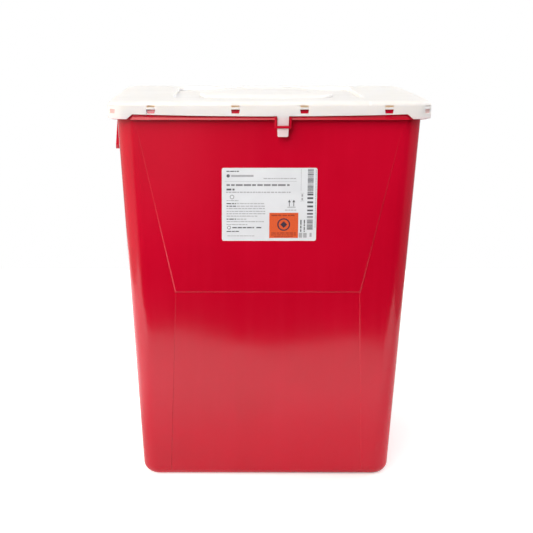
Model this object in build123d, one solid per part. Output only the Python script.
from build123d import *
import math
import os

# Large sharps container: an open tub, a lid that snaps over its rim and a hinged access door.
# Millimetres.  +Z is up, the front faces -Y, and the origin is the centre of the resting face.

# Tub: a drafted shell with rounded corners
BASE_HALF_WIDTH = 175.2
BASE_HALF_DEPTH = 120.4
SIDE_SLOPE = 0.0501
FRONT_SLOPE = 0.0335
CORNER_RADIUS_BASE = 24.0
CORNER_RADIUS_TOP = 28.0
TUB_WALL = 2.8
BASE_FILLET = 15.0
FOOT_RING_WIDTH = 26.0
FOOT_RECESS = 1.5

# Rim of the tub: a web turned outward, with a band hanging from its edge
RIM_TOP = 524.5
RIM_WEB = 2.6
RIM_BAND_BOTTOM = 510.3
RIM_BAND_WALL = 2.4
RIM_LIP_HEIGHT = 5.2
RIM_LIP_REACH = 2.7
RIM_LIP_END_GAP = 4.5

# Lid: a flat top with a skirt round it
LID_HALF_WIDTH = 211.0
LID_HALF_DEPTH = 148.5
LID_TOP = 534.0
LID_CORNER_RADIUS = 22.0
LID_PLATE = 2.5
SKIRT_WALL = 2.4
LID_FOLD_RADIUS = 6.0
SKIRT_BOTTOM = 511.4
SKIRT_EDGE_ENDS = 517.6
SKIRT_EDGE_MIDDLE = 514.9
CORNER_FLAP_REACH_X = 185.0
CORNER_FLAP_REACH_Y = 122.5
CORNER_FLAP_STEP = 7.6
RIM_TO_SKIRT_GAP = 1.8

# Snaps: windows in the skirt and catches on the rim band behind them
FRONT_SNAPS_X = (44.5, 153.6)
SIDE_SNAPS_Y = (60.0,)
SNAP_SLOT_WIDTH_TOP = 11.6
SNAP_SLOT_WIDTH_BOTTOM = 9.8
SNAP_SLOT_BOTTOM = 518.4
SNAP_SLOT_TOP = 523.7
SNAP_SLIT_WIDTH = 10.6
SNAP_SLIT_BOTTOM = 526.4
SNAP_SLIT_TOP = 528.8
CORNER_POCKET_DEPTH = 1.3
CATCH_WIDTH = 9.4
CATCH_HEIGHT = 12.0
CATCH_REACH = 1.3

# Latch: a tab of the lid that hangs through a strap of the tub, front and back
LATCH_X = 17.0
TAB_WIDTH_TOP = 15.4
TAB_WIDTH_END = 13.8
TAB_THICKNESS = 2.0
TAB_END = 488.5
STRAP_OPENING = 16.8
STRAP_STRIP = 2.4
STRAP_BAR_BOTTOM = 499.6
STRAP_BAR_HEIGHT = 3.4
STRAP_TOP = 514.4
STRAP_BAR_GAP = 0.5
STRAP_BAR_THICKNESS = 2.2

# Front and back walls: a proud upper panel and a sunk lower panel that meet at one line
PANEL_LINE = 276.7
PANEL_LINE_HALF_WIDTH = 125.0
UPPER_PANEL_TOP = 500.0
UPPER_PANEL_SPREAD = 0.2163
UPPER_PANEL_PROUD = 1.5
LOWER_PANEL_HALF_WIDTH = 135.5
LOWER_PANEL_DEPTH = 1.3
LOWER_PANEL_DEPTH_AT_LINE = 0.15
PANEL_EDGE_SPLAY = 45.0

# Hand grips: an apron under each end of the rim, in front of a scoop in the end wall
GRIP_HALF_LENGTH = 48.0
GRIP_BOTTOM = 459.5
GRIP_FLARE = 4.2
GRIP_WALL = 2.8
GRIP_FOOT = 4.4
SCOOP_DEPTH = 15.0
SCOOP_TOP = 507.0
SCOOP_BOTTOM = 425.0
SCOOP_HALF_LENGTH = 54.0
SCOOP_FILLET = 8.0
GRIP_CORNER_RADIUS = 9.0

# Lid underside: a locating rib inside the tub and a lipped seat that holds the gasket
LOCATING_RIB_BOTTOM = 513.0
LOCATING_RIB_WALL = 2.0
LOCATING_RIB_GAP = 1.0
GASKET_OUTER_INSET = 6.0
GASKET_WIDTH = 4.8
GASKET_HEIGHT = 5.0
CHANNEL_WALL = 1.5
CHANNEL_LIP = 3.6
STIFFENER_THICKNESS = 1.8
STIFFENER_BOTTOM = 522.0
END_STIFFENERS_Y = (-60.0, 0.0, 60.0)
FRONT_STIFFENERS_X = (-90.0, -45.0, 45.0, 90.0)

# Access opening: a sunk field in the lid, with a round throat through it
FIELD_HALF_WIDTH = 129.0
FIELD_FRONT = -88.0
FIELD_BACK = 124.0
FIELD_DEPTH = 5.5
FIELD_CORNER_RADIUS = 12.0
THROAT_RADIUS = 85.5
THROAT_WALL = 4.0
THROAT_BOTTOM = 518.0
THROAT_LIP = 1.0
THUMB_SCOOP_HALF_WIDTH = 24.0
THUMB_SCOOP_REACH = 13.0

# Access door: a crowned disc with a plug that enters the throat
DOOR_CENTRE_Y = 10.0
DOOR_RADIUS = 95.0
DOOR_WALL = 2.4
DOOR_SHOULDER = 532.0
DOOR_CROWN = 536.0
DOOR_CROWN_RADIUS = 79.0
DOOR_DISH_RADIUS = 62.0
DOOR_DISH_DEPTH = 1.2
DOOR_DISH_EDGE = 3.0
DOOR_SHOULDER_ROUND = 1.5
DOOR_SKIRT_BOTTOM = 529.2
PLUG_CLEARANCE = 1.0
PLUG_WALL = 2.4
PLUG_BOTTOM = 519.5
PLUG_LEAD_IN = 0.8
DOOR_GASKET_WIDTH = 3.4
DOOR_GASKET_HEIGHT = 2.0
FINGER_TAB_HALF_WIDTH = 20.0
FINGER_TAB_REACH = 10.0
FINGER_TAB_THICKNESS = 2.2
FINGER_TAB_CORNER = 5.0

# Door hinge: two knuckles of the door between pairs of ears of the lid, each on its own pin
HINGE_Y = 114.0
HINGE_Z = 532.6
HINGE_X = 40.0
KNUCKLE_LENGTH = 16.0
KNUCKLE_RADIUS = 3.6
KNUCKLE_GAP = 0.4
EAR_THICKNESS = 4.0
PIN_RADIUS = 1.6
PIN_RUNNING_CLEARANCE = 0.08
ARM_OVERLAP = 7.0
ARM_CLEARANCE = 0.1

# Label on the front wall
LABEL_WIDTH = 126.0
LABEL_HEIGHT = 98.8
LABEL_X = 0.7
LABEL_CORNER_RADIUS = 2.6
LABEL_THICKNESS = 0.25
LABEL_BOTTOM = 347.6

SOFT_EDGE = 0.8     # radius on small moulded edges
SINK = 1.5          # how far an added feature reaches into the wall it grows from
OVERCUT = 5.0       # how far a cutting block passes beyond the face it cuts

# Values that follow from the driving dimensions
RIM_HALF_WIDTH = LID_HALF_WIDTH - SKIRT_WALL - RIM_TO_SKIRT_GAP
RIM_HALF_DEPTH = LID_HALF_DEPTH - SKIRT_WALL - RIM_TO_SKIRT_GAP
RIM_CORNER_RADIUS = LID_CORNER_RADIUS - SKIRT_WALL - RIM_TO_SKIRT_GAP
FIELD_FLOOR = LID_TOP - FIELD_DEPTH
COLLAR_TOP = FIELD_FLOOR + THROAT_LIP
COLLAR_RADIUS = THROAT_RADIUS + THROAT_WALL
DOOR_SEAT = COLLAR_TOP + DOOR_GASKET_HEIGHT


def tub_half_width(z):
    return BASE_HALF_WIDTH + SIDE_SLOPE * z


def tub_half_depth(z):
    return BASE_HALF_DEPTH + FRONT_SLOPE * z


def rounded_block(half_width, half_depth, radius, z_low, z_high):
    """A straight block with a rounded rectangular outline."""
    outline = Pos(0, 0, z_low) * RectangleRounded(2 * half_width, 2 * half_depth, radius)
    return extrude(outline, z_high - z_low)


def rounded_ring(half_width, half_depth, radius, wall, z_low, z_high):
    """A straight wall that follows a rounded rectangle, measured to its outside."""
    outside = rounded_block(half_width, half_depth, radius, z_low, z_high)
    hole = rounded_block(half_width - wall, half_depth - wall, radius - wall, z_low - 1, z_high + 1)
    return outside - hole


def drafted_block(z_low, z_high, inset, fillet_radius):
    """The drafted body of the tub between two heights, inset from its outside."""
    sections = []
    for z in (z_low, z_high):
        growth = (CORNER_RADIUS_TOP - CORNER_RADIUS_BASE) * z / RIM_TOP
        section = RectangleRounded(
            2 * (tub_half_width(z) - inset),
            2 * (tub_half_depth(z) - inset),
            CORNER_RADIUS_BASE + growth - inset,
        )
        sections.append(Pos(0, 0, z) * section)
    block = loft(sections, ruled=True)
    return fillet(block.edges().group_by(Axis.Z)[0], fillet_radius)


def profile_yz(points, half_length):
    """A prism along X with the given outline in Y and Z."""
    return extrude(Plane.YZ * make_face(Polyline(*points, close=True)), half_length, both=True)


def profile_xz(points, half_length):
    """A prism along Y with the given outline in X and Z."""
    return extrude(Plane.XZ * make_face(Polyline(*points, close=True)), half_length, both=True)


def turned(solid):
    """The same feature on the opposite side, by half a turn about the vertical."""
    return Rot(0, 0, 180) * solid


def snap_stations(half_width, half_depth):
    """Places of the snaps on the straight sides: x, y and the outward direction in degrees."""
    places = []
    for x in FRONT_SNAPS_X:
        for side in (-1, 1):
            places.append((side * x, -half_depth, -90))
            places.append((side * x, half_depth, 90))
    for y in SIDE_SNAPS_Y:
        for side in (-1, 1):
            places.append((half_width, side * y, 0))
            places.append((-half_width, side * y, 180))
    return places


# ---------------------------------------------------------------- tub


def front_field(low, high, outline, reach):
    """A block on the front wall with sides splayed by 45 degrees.

    low and high are (depth, height) of two points of its small face, and outline is that face, each
    point as (x, distance up the face).  From there it widens outward over the reach, or inward when
    the reach is negative.
    """
    up = Vector(0, low[0] - high[0], high[1] - low[1]).normalized()
    outward = Vector(1, 0, 0).cross(up)
    plane = Plane(origin=(0, -low[0], low[1]), x_dir=(1, 0, 0), z_dir=outward)
    if reach < 0:
        plane = Plane(origin=plane.origin, x_dir=(-1, 0, 0), z_dir=-outward)
    face = make_face(Polyline(*outline, close=True))
    return extrude(plane * face, abs(reach), taper=-PANEL_EDGE_SPLAY)


def upper_panel():
    """Proud trapezoid on the front wall, level with the wall at its top."""
    length = UPPER_PANEL_TOP - PANEL_LINE
    half_line = PANEL_LINE_HALF_WIDTH
    half_top = half_line + UPPER_PANEL_SPREAD * length
    return front_field(
        (tub_half_depth(PANEL_LINE) + UPPER_PANEL_PROUD, PANEL_LINE),
        (tub_half_depth(UPPER_PANEL_TOP), UPPER_PANEL_TOP),
        [(-half_line, 0), (half_line, 0), (half_top, length), (-half_top, length)],
        -UPPER_PANEL_PROUD - SINK,
    )


def lower_panel_cut():
    """Sunk field below the panel line, deepest at the base and almost level with the wall at the line."""
    top = PANEL_LINE - UPPER_PANEL_PROUD
    half_line = PANEL_LINE_HALF_WIDTH
    half_base = LOWER_PANEL_HALF_WIDTH
    return front_field(
        (tub_half_depth(0) - LOWER_PANEL_DEPTH, 0),
        (tub_half_depth(top) - LOWER_PANEL_DEPTH_AT_LINE, top),
        [(-half_base, -OVERCUT), (half_base, -OVERCUT), (half_line, top), (-half_line, top)],
        OVERCUT,
    )


def scoop(allowance):
    """Finger room in the right end wall; the allowance gives the matching bulge on the inside."""
    outside = LID_HALF_WIDTH
    deep = tub_half_width(SCOOP_TOP) - SCOOP_DEPTH - allowance
    fade = tub_half_width(SCOOP_BOTTOM) - allowance
    outline = [
        (outside, SCOOP_TOP + allowance),
        (deep, SCOOP_TOP + allowance),
        (deep, GRIP_BOTTOM),
        (fade, SCOOP_BOTTOM - allowance),
        (outside, SCOOP_BOTTOM - allowance),
    ]
    half_length = SCOOP_HALF_LENGTH + allowance
    block = profile_xz(outline, half_length)
    deep_edges = block.edges().filter_by(Axis.Z).group_by(Axis.X)[0]
    return fillet(deep_edges, SCOOP_FILLET)


def grip_apron():
    """Right apron: hangs from the rim band, flares outward and is open at its ends."""
    outline = [
        (RIM_HALF_WIDTH - SINK, STRAP_TOP),
        (RIM_HALF_WIDTH, STRAP_TOP),
        (RIM_HALF_WIDTH, RIM_BAND_BOTTOM),
        (RIM_HALF_WIDTH + GRIP_FLARE, GRIP_BOTTOM),
        (RIM_HALF_WIDTH + GRIP_FLARE - GRIP_FOOT, GRIP_BOTTOM),
        (RIM_HALF_WIDTH - GRIP_WALL, RIM_BAND_BOTTOM),
    ]
    apron = profile_xz(outline, GRIP_HALF_LENGTH)
    low_corners = apron.edges().filter_by(Axis.X).group_by(Axis.Z)[0]
    return fillet(low_corners, GRIP_CORNER_RADIUS)


def rim_lip(half_span, distance):
    """Flare along the foot of the rim band between two corner flaps, its face tipped upward."""
    top = RIM_BAND_BOTTOM + RIM_LIP_HEIGHT
    wedge = profile_yz(
        [
            (-distance + SINK, top),
            (-distance, top),
            (-distance - RIM_LIP_REACH, RIM_BAND_BOTTOM),
            (-distance + SINK, RIM_BAND_BOTTOM),
        ],
        half_span,
    )
    low = half_span - RIM_LIP_END_GAP
    high = low - RIM_LIP_END_GAP
    outline = profile_xz(
        [(-low, RIM_BAND_BOTTOM), (low, RIM_BAND_BOTTOM), (high, top), (-high, top)],
        distance + OVERCUT,
    )
    return wedge & outline


def strap():
    """Loop on the front of the rim band that holds the lid's latch tab."""
    band_face = -RIM_HALF_DEPTH
    bar_back = -(LID_HALF_DEPTH + STRAP_BAR_GAP)
    bar_front = bar_back - STRAP_BAR_THICKNESS
    half_opening = STRAP_OPENING / 2
    loop = Box(2 * (half_opening + STRAP_STRIP), band_face + SINK - bar_front, STRAP_TOP - STRAP_BAR_BOTTOM)
    loop = fillet(loop.edges().filter_by(Axis.Y).group_by(Axis.Z)[0], 2 * SOFT_EDGE)
    loop = fillet(loop.edges().filter_by(Axis.Z).group_by(Axis.Y)[0], SOFT_EDGE)
    loop = Pos(LATCH_X, (band_face + SINK + bar_front) / 2, (STRAP_TOP + STRAP_BAR_BOTTOM) / 2) * loop
    slot = Box(STRAP_OPENING, 4 * OVERCUT, STRAP_TOP - STRAP_BAR_BOTTOM + OVERCUT)
    slot = Pos(LATCH_X, bar_back + 2 * OVERCUT, (STRAP_TOP + STRAP_BAR_BOTTOM) / 2) * slot
    window_bottom = STRAP_BAR_BOTTOM + STRAP_BAR_HEIGHT
    window = Box(STRAP_OPENING, 8 * OVERCUT, STRAP_TOP - window_bottom + OVERCUT)
    window = Pos(LATCH_X, band_face, (STRAP_TOP + window_bottom + OVERCUT) / 2) * window
    below_band = Box(4 * STRAP_OPENING, 2 * OVERCUT, RIM_BAND_BOTTOM - STRAP_BAR_BOTTOM + OVERCUT)
    below_middle = (RIM_BAND_BOTTOM + STRAP_BAR_BOTTOM - OVERCUT) / 2
    below_band = Pos(LATCH_X, band_face + OVERCUT, below_middle) * below_band
    return loop - slot - window - below_band


def catch():
    """One catch, its root at the origin and pointing along +X, with a lead-in slope on top."""
    foot = SNAP_SLOT_TOP - CATCH_HEIGHT
    outline = [
        (-RIM_BAND_WALL / 2, foot),
        (CATCH_REACH, foot + CATCH_REACH),
        (CATCH_REACH, SNAP_SLOT_BOTTOM),
        (0, SNAP_SLOT_TOP),
        (-RIM_BAND_WALL / 2, SNAP_SLOT_TOP),
    ]
    return profile_xz(outline, CATCH_WIDTH / 2)


def container_body():
    body = drafted_block(0, RIM_TOP, 0, BASE_FILLET)
    for side in (0, 180):
        body += Rot(0, 0, side) * upper_panel()
        body -= Rot(0, 0, side) * lower_panel_cut()
        body -= Rot(0, 0, side) * scoop(0)
    cavity = drafted_block(TUB_WALL, RIM_TOP + OVERCUT, TUB_WALL, BASE_FILLET - TUB_WALL)
    for side in (0, 180):
        cavity -= Rot(0, 0, side) * scoop(TUB_WALL)
    rim = rounded_block(RIM_HALF_WIDTH, RIM_HALF_DEPTH, RIM_CORNER_RADIUS, RIM_TOP - RIM_WEB, RIM_TOP)
    band = rounded_ring(
        RIM_HALF_WIDTH, RIM_HALF_DEPTH, RIM_CORNER_RADIUS, RIM_BAND_WALL, RIM_BAND_BOTTOM, RIM_TOP
    )
    body += rim
    body -= cavity
    body += band
    tab_passage = Pos(LATCH_X, -RIM_HALF_DEPTH - OVERCUT, RIM_BAND_BOTTOM) * Box(
        STRAP_OPENING, 2 * OVERCUT, 4 * OVERCUT
    )
    front_lip = rim_lip(CORNER_FLAP_REACH_X, RIM_HALF_DEPTH) - tab_passage
    end_lip = Rot(0, 0, 90) * rim_lip(CORNER_FLAP_REACH_Y, RIM_HALF_WIDTH)
    for side in (0, 180):
        body += Rot(0, 0, side) * front_lip
        body += Rot(0, 0, side) * end_lip
        body += Rot(0, 0, side) * grip_apron()
        body += Rot(0, 0, side) * strap()
    for x, y, direction in snap_stations(RIM_HALF_WIDTH, RIM_HALF_DEPTH):
        body += Pos(x, y, 0) * Rot(0, 0, direction) * catch()
    foot_half_width = BASE_HALF_WIDTH - FOOT_RING_WIDTH
    foot_half_depth = BASE_HALF_DEPTH - FOOT_RING_WIDTH
    body -= rounded_block(foot_half_width, foot_half_depth, CORNER_RADIUS_BASE, -1, FOOT_RECESS)
    return body


# ---------------------------------------------------------------- lid


def skirt_edge_cut(half_span, far):
    """Cut under the lower edge of the skirt between two corner flaps, bowed down in its middle."""
    step = CORNER_FLAP_STEP
    below = SKIRT_BOTTOM - OVERCUT
    left = -half_span
    right = half_span
    edge = [
        Line((left, below), (left, SKIRT_BOTTOM)),
        Line((left, SKIRT_BOTTOM), (left + step, SKIRT_EDGE_ENDS)),
        ThreePointArc(
            (left + step, SKIRT_EDGE_ENDS), (0, SKIRT_EDGE_MIDDLE), (right - step, SKIRT_EDGE_ENDS)
        ),
        Line((right - step, SKIRT_EDGE_ENDS), (right, SKIRT_BOTTOM)),
        Line((right, SKIRT_BOTTOM), (right, below)),
        Line((right, below), (left, below)),
    ]
    return extrude(Plane.XZ * make_face(edge), far, both=True)


def snap_windows(depth):
    """Trapezoid slot and thin slit of one snap, cut to a depth from the origin against +X."""
    low = SNAP_SLOT_WIDTH_BOTTOM / 2
    high = SNAP_SLOT_WIDTH_TOP / 2
    slot = profile_yz(
        [
            (-low, SNAP_SLOT_BOTTOM),
            (low, SNAP_SLOT_BOTTOM),
            (high, SNAP_SLOT_TOP),
            (-high, SNAP_SLOT_TOP),
        ],
        depth,
    )
    slit_height = SNAP_SLIT_TOP - SNAP_SLIT_BOTTOM
    slit = Pos(0, 0, (SNAP_SLIT_TOP + SNAP_SLIT_BOTTOM) / 2)
    slit *= Box(2 * depth, SNAP_SLIT_WIDTH, slit_height)
    return slot + slit


def corner_pockets():
    """Blind pockets of the same shape on the four rounded corners of the skirt."""
    pockets = []
    for direction in (45, 135, 225, 315):
        reach = Vector(LID_CORNER_RADIUS, 0, 0).rotate(Axis.Z, direction)
        x = math.copysign(LID_HALF_WIDTH - LID_CORNER_RADIUS, reach.X) + reach.X
        y = math.copysign(LID_HALF_DEPTH - LID_CORNER_RADIUS, reach.Y) + reach.Y
        pockets.append(Pos(x, y, 0) * Rot(0, 0, direction) * snap_windows(CORNER_POCKET_DEPTH))
    return pockets


def latch_tab():
    """Tapered tab that hangs from the front of the skirt."""
    outline = [
        (LATCH_X - TAB_WIDTH_TOP / 2, SKIRT_EDGE_ENDS),
        (LATCH_X + TAB_WIDTH_TOP / 2, SKIRT_EDGE_ENDS),
        (LATCH_X + TAB_WIDTH_END / 2, TAB_END),
        (LATCH_X - TAB_WIDTH_END / 2, TAB_END),
    ]
    tab = profile_xz(outline, TAB_THICKNESS / 2)
    end_corners = tab.edges().filter_by(Axis.Y).group_by(Axis.Z)[0]
    tab = fillet(end_corners, 2 * SOFT_EDGE)
    return Pos(0, -LID_HALF_DEPTH + TAB_THICKNESS / 2, 0) * tab


def locating_rib():
    inner_width = tub_half_width(LOCATING_RIB_BOTTOM) - TUB_WALL - LOCATING_RIB_GAP
    inner_depth = tub_half_depth(LOCATING_RIB_BOTTOM) - TUB_WALL - LOCATING_RIB_GAP
    radius = CORNER_RADIUS_TOP - TUB_WALL - LOCATING_RIB_GAP
    return rounded_ring(
        inner_width, inner_depth, radius, LOCATING_RIB_WALL, LOCATING_RIB_BOTTOM, LID_TOP - LID_PLATE
    )


def gasket_ring(inset, width, z_low, z_high):
    """A ring along the path of the lid gasket, its outside inset from that of the skirt."""
    return rounded_ring(
        LID_HALF_WIDTH - inset, LID_HALF_DEPTH - inset, LID_CORNER_RADIUS - inset, width, z_low, z_high
    )


def gasket_seat():
    """The flat that the lid gasket is bonded to, with a lip on its inner side."""
    seat = RIM_TOP + GASKET_HEIGHT
    flat = gasket_ring(GASKET_OUTER_INSET, GASKET_WIDTH + CHANNEL_WALL, seat, LID_TOP - LID_PLATE)
    lip = gasket_ring(GASKET_OUTER_INSET + GASKET_WIDTH, CHANNEL_WALL, seat - CHANNEL_LIP, seat)
    return flat + lip


def stiffeners():
    """Thin ribs under the lid, between the sunk field and the locating rib."""
    height = LID_TOP - LID_PLATE - STIFFENER_BOTTOM
    z = STIFFENER_BOTTOM + height / 2
    reach_x = tub_half_width(LOCATING_RIB_BOTTOM) - TUB_WALL - LOCATING_RIB_GAP - 1
    reach_y = tub_half_depth(LOCATING_RIB_BOTTOM) - TUB_WALL - LOCATING_RIB_GAP - 1
    ribs = []
    for y in END_STIFFENERS_Y:
        length = reach_x - FIELD_HALF_WIDTH
        rib = Box(length, STIFFENER_THICKNESS, height)
        ribs.append(Pos(FIELD_HALF_WIDTH + length / 2, y, z) * rib)
        ribs.append(Pos(-FIELD_HALF_WIDTH - length / 2, y, z) * rib)
    for x in FRONT_STIFFENERS_X:
        length = reach_y + FIELD_FRONT
        rib = Box(STIFFENER_THICKNESS, length, height)
        ribs.append(Pos(x, FIELD_FRONT - length / 2, z) * rib)
    return ribs


def hinge_ears():
    """Pairs of ears either side of each door knuckle."""
    ears = []
    offset = (KNUCKLE_LENGTH + EAR_THICKNESS) / 2 + KNUCKLE_GAP
    for side in (-1, 1):
        for pair in (-1, 1):
            x = side * HINGE_X + pair * offset
            post = Box(EAR_THICKNESS, 2 * KNUCKLE_RADIUS, HINGE_Z - FIELD_FLOOR + 1)
            post = Pos(x, HINGE_Y, (HINGE_Z + FIELD_FLOOR - 1) / 2) * post
            boss = Pos(x, HINGE_Y, HINGE_Z) * Rot(0, 90, 0) * Cylinder(KNUCKLE_RADIUS, EAR_THICKNESS)
            ears.append(post + boss)
    return ears


def lid():
    shell = rounded_block(LID_HALF_WIDTH, LID_HALF_DEPTH, LID_CORNER_RADIUS, SKIRT_BOTTOM, LID_TOP)
    shell = fillet(shell.edges().group_by(Axis.Z)[-1], LID_FOLD_RADIUS)
    hollow = rounded_block(
        LID_HALF_WIDTH - SKIRT_WALL,
        LID_HALF_DEPTH - SKIRT_WALL,
        LID_CORNER_RADIUS - SKIRT_WALL,
        SKIRT_BOTTOM - OVERCUT,
        LID_TOP - LID_PLATE,
    )
    hollow = fillet(hollow.edges().group_by(Axis.Z)[-1], LID_FOLD_RADIUS - SKIRT_WALL)
    shell -= hollow
    shell -= skirt_edge_cut(CORNER_FLAP_REACH_X, LID_HALF_DEPTH + OVERCUT)
    shell -= Rot(0, 0, 90) * skirt_edge_cut(CORNER_FLAP_REACH_Y, LID_HALF_WIDTH + OVERCUT)
    for x, y, direction in snap_stations(LID_HALF_WIDTH, LID_HALF_DEPTH):
        shell -= Pos(x, y, 0) * Rot(0, 0, direction) * snap_windows(SKIRT_WALL + 1)
    for pocket in corner_pockets():
        shell -= pocket

    field_middle = (FIELD_FRONT + FIELD_BACK) / 2
    field_half_depth = (FIELD_BACK - FIELD_FRONT) / 2
    pan = rounded_block(
        FIELD_HALF_WIDTH + LID_PLATE,
        field_half_depth + LID_PLATE,
        FIELD_CORNER_RADIUS + LID_PLATE,
        FIELD_FLOOR - LID_PLATE,
        LID_TOP - LID_PLATE,
    )
    sunk = rounded_block(
        FIELD_HALF_WIDTH, field_half_depth, FIELD_CORNER_RADIUS, FIELD_FLOOR, LID_TOP + OVERCUT
    )
    shell += Pos(0, field_middle, 0) * pan
    thumb_floor = Box(
        2 * (THUMB_SCOOP_HALF_WIDTH + LID_PLATE), THUMB_SCOOP_REACH + LID_PLATE, LID_TOP - FIELD_FLOOR
    )
    shell += Pos(0, FIELD_FRONT - (THUMB_SCOOP_REACH + LID_PLATE) / 2, FIELD_FLOOR) * thumb_floor
    thumb_scoop = Box(2 * THUMB_SCOOP_HALF_WIDTH, 2 * THUMB_SCOOP_REACH, FIELD_DEPTH + OVERCUT)
    shell -= Pos(0, field_middle, 0) * sunk
    shell -= Pos(0, FIELD_FRONT, FIELD_FLOOR + (FIELD_DEPTH + OVERCUT) / 2) * thumb_scoop

    foot_of_throat = Pos(0, DOOR_CENTRE_Y, THROAT_BOTTOM)
    collar = extrude(foot_of_throat * Circle(COLLAR_RADIUS), COLLAR_TOP - THROAT_BOTTOM)
    throat = extrude(foot_of_throat * Circle(THROAT_RADIUS), LID_TOP - THROAT_BOTTOM)
    shell += locating_rib() + gasket_seat() + stiffeners()
    shell += collar
    shell -= throat
    shell += latch_tab() + turned(latch_tab())
    shell += hinge_ears()
    for side in (-1, 1):
        shell -= hinge_cylinder(side, PIN_RADIUS)
    return shell


def hinge_cylinder(side, radius):
    """A cylinder on the hinge axis, as long as one hinge is wide."""
    length = KNUCKLE_LENGTH + 2 * (KNUCKLE_GAP + EAR_THICKNESS)
    return Pos(side * HINGE_X, HINGE_Y, HINGE_Z) * Rot(0, 90, 0) * Cylinder(radius, length)


# ---------------------------------------------------------------- access door


def access_door():
    plug_radius = THROAT_RADIUS - PLUG_CLEARANCE
    underside = DOOR_CROWN - DOOR_WALL
    section = [
        (0, underside - DOOR_DISH_DEPTH),
        (plug_radius - PLUG_WALL, underside - DOOR_DISH_DEPTH),
        (plug_radius - PLUG_WALL, PLUG_BOTTOM),
        (plug_radius - PLUG_LEAD_IN, PLUG_BOTTOM),
        (plug_radius, PLUG_BOTTOM + 3 * PLUG_LEAD_IN),
        (plug_radius, DOOR_SEAT),
        (DOOR_RADIUS - DOOR_WALL, DOOR_SEAT),
        (DOOR_RADIUS - DOOR_WALL, DOOR_SKIRT_BOTTOM),
        (DOOR_RADIUS, DOOR_SKIRT_BOTTOM),
        (DOOR_RADIUS, DOOR_SHOULDER),
        (DOOR_RADIUS - DOOR_SHOULDER_ROUND, DOOR_SHOULDER + DOOR_SHOULDER_ROUND),
        (DOOR_CROWN_RADIUS, DOOR_CROWN),
        (DOOR_DISH_RADIUS + DOOR_DISH_EDGE, DOOR_CROWN),
        (DOOR_DISH_RADIUS, DOOR_CROWN - DOOR_DISH_DEPTH),
        (0, DOOR_CROWN - DOOR_DISH_DEPTH),
    ]
    disc = revolve(Plane.XZ * make_face(Polyline(*section, close=True)), Axis.Z)
    door = Pos(0, DOOR_CENTRE_Y, 0) * disc

    tab_front = DOOR_CENTRE_Y - DOOR_RADIUS - FINGER_TAB_REACH
    tab_back = DOOR_CENTRE_Y - DOOR_RADIUS + DOOR_WALL
    tab = Box(2 * FINGER_TAB_HALF_WIDTH, tab_back - tab_front, FINGER_TAB_THICKNESS)
    tab = fillet(tab.edges().filter_by(Axis.Z).group_by(Axis.Y)[0], FINGER_TAB_CORNER)
    door += Pos(0, (tab_front + tab_back) / 2, DOOR_SHOULDER) * tab

    outer_x = HINGE_X + KNUCKLE_LENGTH / 2
    arm_front = DOOR_CENTRE_Y + math.sqrt(DOOR_RADIUS**2 - outer_x**2) - ARM_OVERLAP
    arm_bottom = DOOR_SEAT + ARM_CLEARANCE
    for side in (-1, 1):
        arm = Box(KNUCKLE_LENGTH, HINGE_Y - arm_front, DOOR_WALL)
        arm = Pos(side * HINGE_X, (HINGE_Y + arm_front) / 2, arm_bottom + DOOR_WALL / 2) * arm
        knuckle = Pos(side * HINGE_X, HINGE_Y, HINGE_Z) * Rot(0, 90, 0)
        door += arm + knuckle * Cylinder(KNUCKLE_RADIUS, KNUCKLE_LENGTH)
        door -= hinge_cylinder(side, PIN_RADIUS + PIN_RUNNING_CLEARANCE)
    return door


# ---------------------------------------------------------------- seals, pins and label


def lid_gasket():
    return gasket_ring(GASKET_OUTER_INSET, GASKET_WIDTH, RIM_TOP, RIM_TOP + GASKET_HEIGHT)


def door_gasket():
    middle = THROAT_RADIUS + THROAT_WALL / 2
    outline = Circle(middle + DOOR_GASKET_WIDTH / 2) - Circle(middle - DOOR_GASKET_WIDTH / 2)
    return extrude(Pos(0, DOOR_CENTRE_Y, COLLAR_TOP) * outline, DOOR_GASKET_HEIGHT)


def front_label():
    """A thin sheet lying on the proud panel."""
    face_slope = FRONT_SLOPE - UPPER_PANEL_PROUD / (UPPER_PANEL_TOP - PANEL_LINE)
    face_at_top = tub_half_depth(UPPER_PANEL_TOP)
    tilt = math.atan(face_slope)
    middle_z = LABEL_BOTTOM + LABEL_HEIGHT / 2 * math.cos(tilt)
    middle_y = -(face_at_top - face_slope * (UPPER_PANEL_TOP - middle_z))
    normal = (0, -math.cos(tilt), -math.sin(tilt))
    plane = Plane(origin=(LABEL_X, middle_y, middle_z), x_dir=(1, 0, 0), z_dir=normal)
    sheet = RectangleRounded(LABEL_WIDTH, LABEL_HEIGHT, LABEL_CORNER_RADIUS)
    return extrude(plane * sheet, LABEL_THICKNESS)


def main():
    parts = {
        "container_body": container_body(),
        "lid": lid(),
        "lid_gasket": lid_gasket(),
        "access_door": access_door(),
        "door_gasket": door_gasket(),
        "hinge_pin_left": hinge_cylinder(-1, PIN_RADIUS),
        "hinge_pin_right": hinge_cylinder(1, PIN_RADIUS),
        "front_label": front_label(),
    }
    os.makedirs("parts", exist_ok=True)
    for name, solid in parts.items():
        export_step(solid, f"parts/{name}.step")
        size = [round(length, 1) for length in solid.bounding_box().size]
        print(name, type(solid).__name__, round(solid.volume), size)


main()
